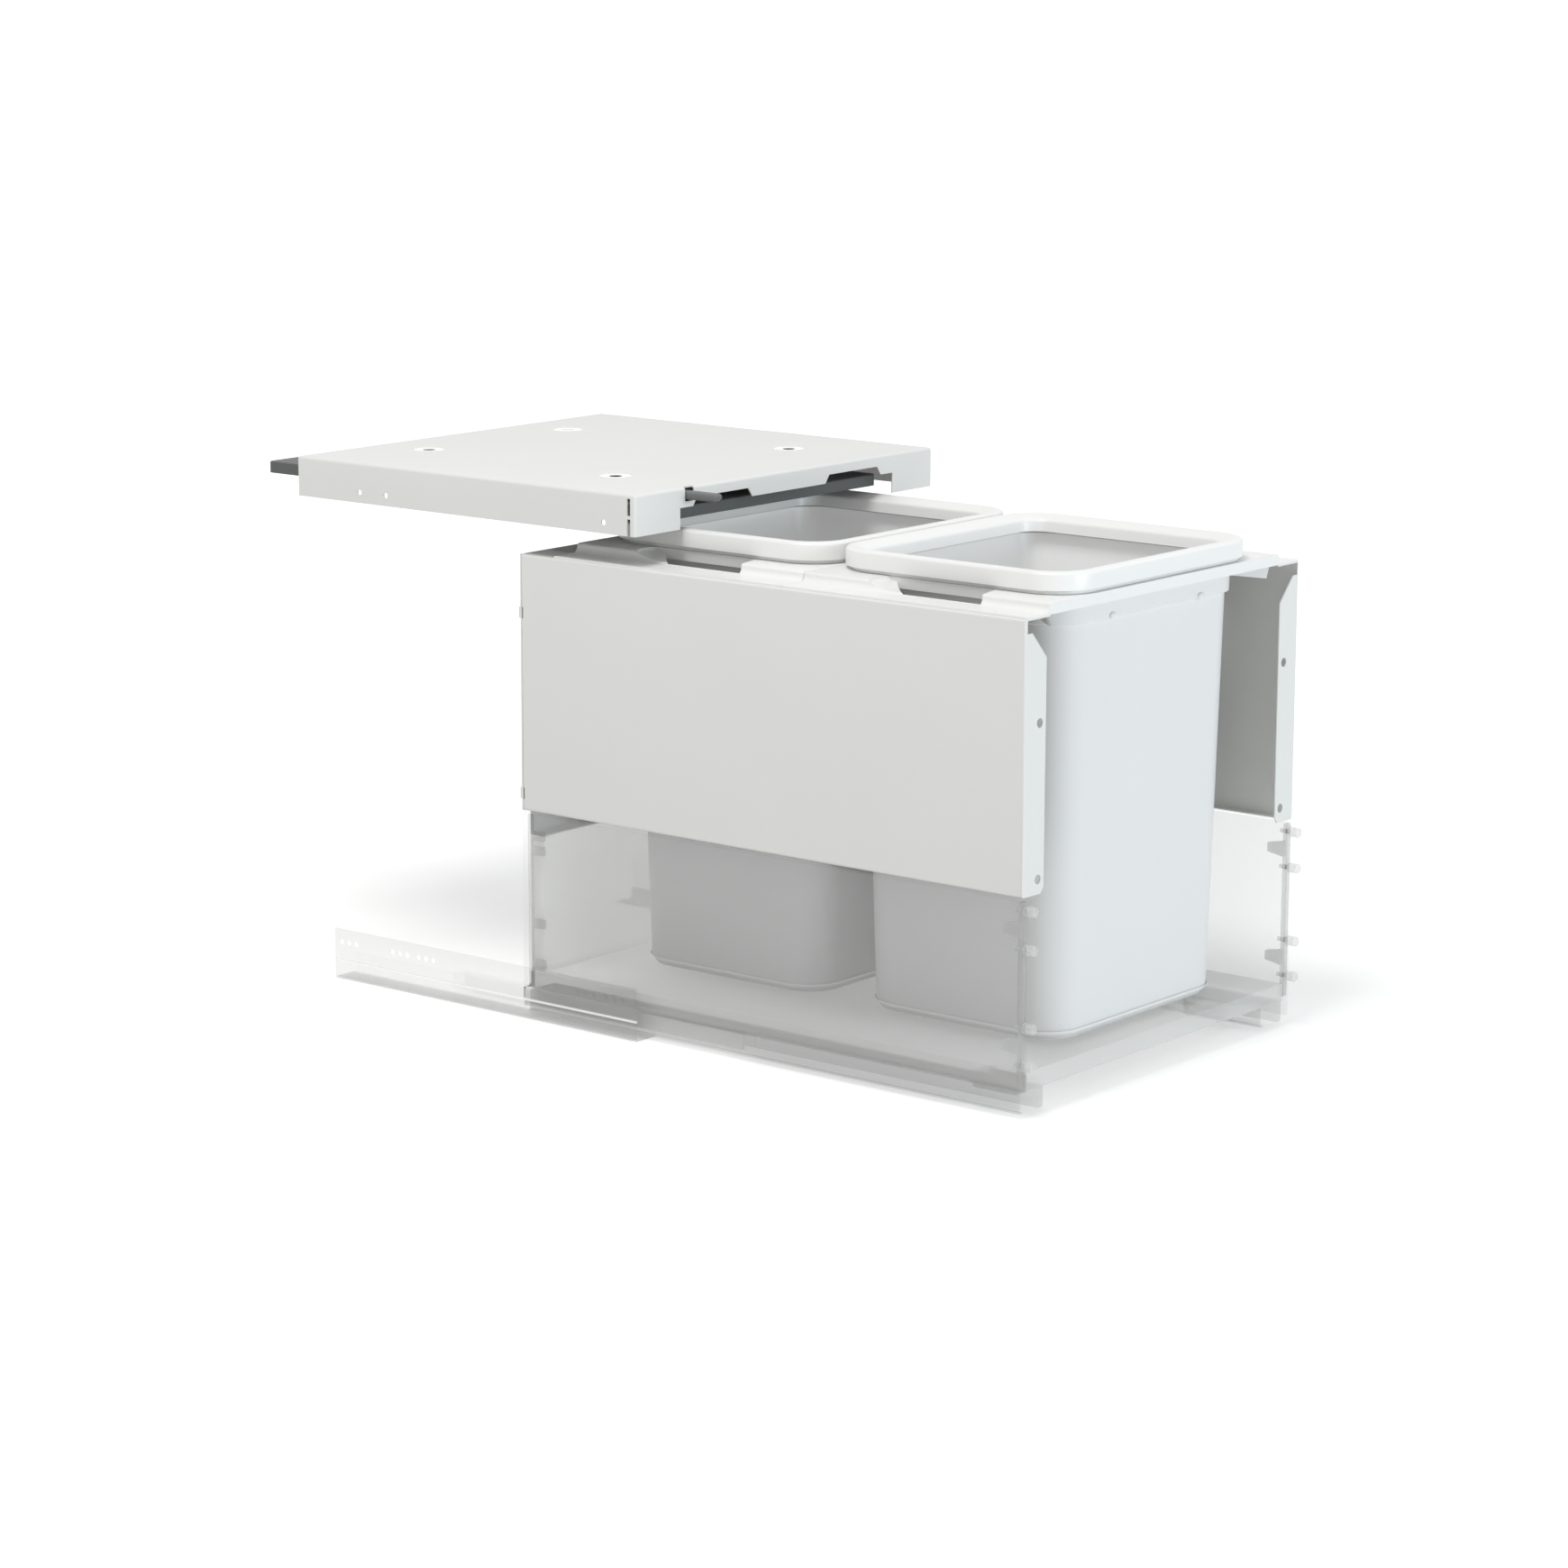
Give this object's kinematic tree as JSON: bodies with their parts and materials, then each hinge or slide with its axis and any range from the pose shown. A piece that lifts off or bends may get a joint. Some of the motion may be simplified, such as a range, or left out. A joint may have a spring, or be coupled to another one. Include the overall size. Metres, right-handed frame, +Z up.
{
  "type": "pull out trash cabinet",
  "caption": "Pull-out waste drawer fitting with lift-out bins under bag rings, steel side panels, runners and a cover pan whose swinging lid is lowered by a trigger arm.",
  "frame": {"origin": "middle of the footprint, level with the underside of the cabinet rails, drawer open", "axes": "+Z up, +X to the right of a person who stands at the open drawer, the drawer opens towards -Y"},
  "size_m": [0.418, 0.9176, 0.4788],
  "materials": {
    "painted_steel": "light grey powder coat, satin",
    "white_plastic": "white moulded plastic, semi-matt",
    "bin_plastic": "pale grey-white moulded plastic, satin",
    "lid_plastic": "dark grey, matt",
    "dark_plastic": "dark grey moulded plastic, semi-matt",
    "zinc_steel": "zinc-plated",
    "ghost_profile": "shown see-through, pale grey",
    "ghost_board": "shown see-through, pale grey board",
    "ghost_steel": "shown see-through, grey"
  },
  "bodies": {
    "cabinet_side": {"cover_pan": "painted_steel", "cabinet_rail_left": "ghost_steel", "cabinet_rail_right": "ghost_steel", "lid_bracket_left": "zinc_steel", "lid_bracket_right": "zinc_steel", "trigger_guide": "zinc_steel", "rocker_stud": "zinc_steel"},
    "trigger": {"lid_trigger": "dark_plastic"},
    "rocker": {"lid_rocker": "zinc_steel"},
    "front_arms": {"lid_shaft_front": "zinc_steel", "lid_arm_front_left": "dark_plastic", "lid_arm_front_right": "dark_plastic"},
    "rear_arms": {"lid_shaft_rear": "zinc_steel", "lid_arm_rear_left": "dark_plastic", "lid_arm_rear_right": "dark_plastic"},
    "lid": {"lid_plate": "lid_plastic", "lid_post": "zinc_steel", "lid_pin_front_left": "zinc_steel", "lid_pin_front_right": "zinc_steel", "lid_pin_rear_left": "zinc_steel", "lid_pin_rear_right": "zinc_steel"},
    "middle_left": {"middle_rail_left": "ghost_steel"},
    "middle_right": {"middle_rail_right": "ghost_steel"},
    "drawer": {"drawer_floor": "ghost_board", "drawer_back": "ghost_board", "rear_panel": "painted_steel", "frame_front": "white_plastic", "frame_rear": "white_plastic", "bin_rear": "bin_plastic", "ring_rear": "white_plastic", "drawer_rail_left": "ghost_steel", "front_bracket_left": "ghost_steel", "rear_bracket_left": "ghost_steel", "drawer_side_left": "ghost_profile", "lock_housing_left": "ghost_profile", "side_panel_left": "painted_steel", "drawer_rail_right": "ghost_steel", "front_bracket_right": "ghost_steel", "rear_bracket_right": "ghost_steel", "drawer_side_right": "ghost_profile", "lock_housing_right": "ghost_profile", "side_panel_right": "painted_steel", "front_dowel_1_left": "ghost_profile", "front_dowel_2_left": "ghost_profile", "front_dowel_3_left": "ghost_profile", "front_dowel_4_left": "ghost_profile", "front_dowel_1_right": "ghost_profile", "front_dowel_2_right": "ghost_profile", "front_dowel_3_right": "ghost_profile", "front_dowel_4_right": "ghost_profile"},
    "front_bin": {"bin_front": "bin_plastic"},
    "front_ring": {"ring_front": "white_plastic"},
    "lever_left": {"lock_lever_left": "ghost_profile"},
    "lever_right": {"lock_lever_right": "ghost_profile"}
  },
  "joints": [
    {"name": "lid_trigger_slide", "type": "slide", "parent": "cabinet_side", "child": "trigger", "axis": [0, 1, 0], "range_m": [0, 0.027], "stiffness_N_per_m": 150, "springref_m": -0.04},
    {"name": "lid_rocker_turn", "type": "hinge", "parent": "cabinet_side", "child": "rocker", "pos_m": [-0.097, 0.0214, 0.4631], "axis": [0, 0, 1], "range_deg": [-37.31, 0]},
    {"name": "front_arm_swing", "type": "hinge", "parent": "cabinet_side", "child": "front_arms", "pos_m": [0, 0.0009, 0.4685], "axis": [1, 0, 0], "range_deg": [-38.82, 0]},
    {"name": "lid_level_pivot", "type": "hinge", "parent": "front_arms", "child": "lid", "pos_m": [0, 0.0148, 0.4535], "axis": [1, 0, 0], "range_deg": [0, 38.82]},
    {"name": "rear_arm_swing", "type": "hinge", "parent": "cabinet_side", "child": "rear_arms", "pos_m": [0, 0.3009, 0.4685], "axis": [1, 0, 0], "range_deg": [-38.82, 0]},
    {"name": "drawer_slide", "type": "slide", "parent": "cabinet_side", "child": "drawer", "axis": [0, 1, 0], "range_m": [0, 0.393]},
    {"name": "middle_left_slide", "type": "slide", "parent": "cabinet_side", "child": "middle_left", "axis": [0, 1, 0], "range_m": [0, 0.1966]},
    {"name": "middle_right_slide", "type": "slide", "parent": "cabinet_side", "child": "middle_right", "axis": [0, 1, 0], "range_m": [0, 0.1966]},
    {"name": "front_bin_lift", "type": "slide", "parent": "drawer", "child": "front_bin", "axis": [0, 0, -1], "range_m": [-0.4, 0]},
    {"name": "front_ring_lift", "type": "slide", "parent": "front_bin", "child": "front_ring", "axis": [0, 0, -1], "range_m": [-0.06, 0]},
    {"name": "lock_lever_left_press", "type": "hinge", "parent": "drawer", "child": "lever_left", "pos_m": [-0.1445, -0.3802, 0.016], "axis": [0, 0, 1], "range_deg": [0, 8], "stiffness_Nm_per_rad": 0.5, "springref_deg": -5.73},
    {"name": "lock_lever_right_press", "type": "hinge", "parent": "drawer", "child": "lever_right", "pos_m": [0.1445, -0.3802, 0.016], "axis": [0, 0, -1], "range_deg": [0, 8], "stiffness_Nm_per_rad": 0.5, "springref_deg": -5.73}
  ],
  "couplings": [
    {"joint": "lid_rocker_turn", "follows": "lid_trigger_slide", "rad_per_m": -24.111},
    {"joint": "front_arm_swing", "follows": "lid_trigger_slide", "rad_per_m": -25.085},
    {"joint": "lid_level_pivot", "follows": "lid_trigger_slide", "rad_per_m": 25.085},
    {"joint": "rear_arm_swing", "follows": "lid_trigger_slide", "rad_per_m": -25.085},
    {"joint": "middle_left_slide", "follows": "drawer_slide", "ratio": 0.5},
    {"joint": "middle_right_slide", "follows": "drawer_slide", "ratio": 0.5}
  ]
}
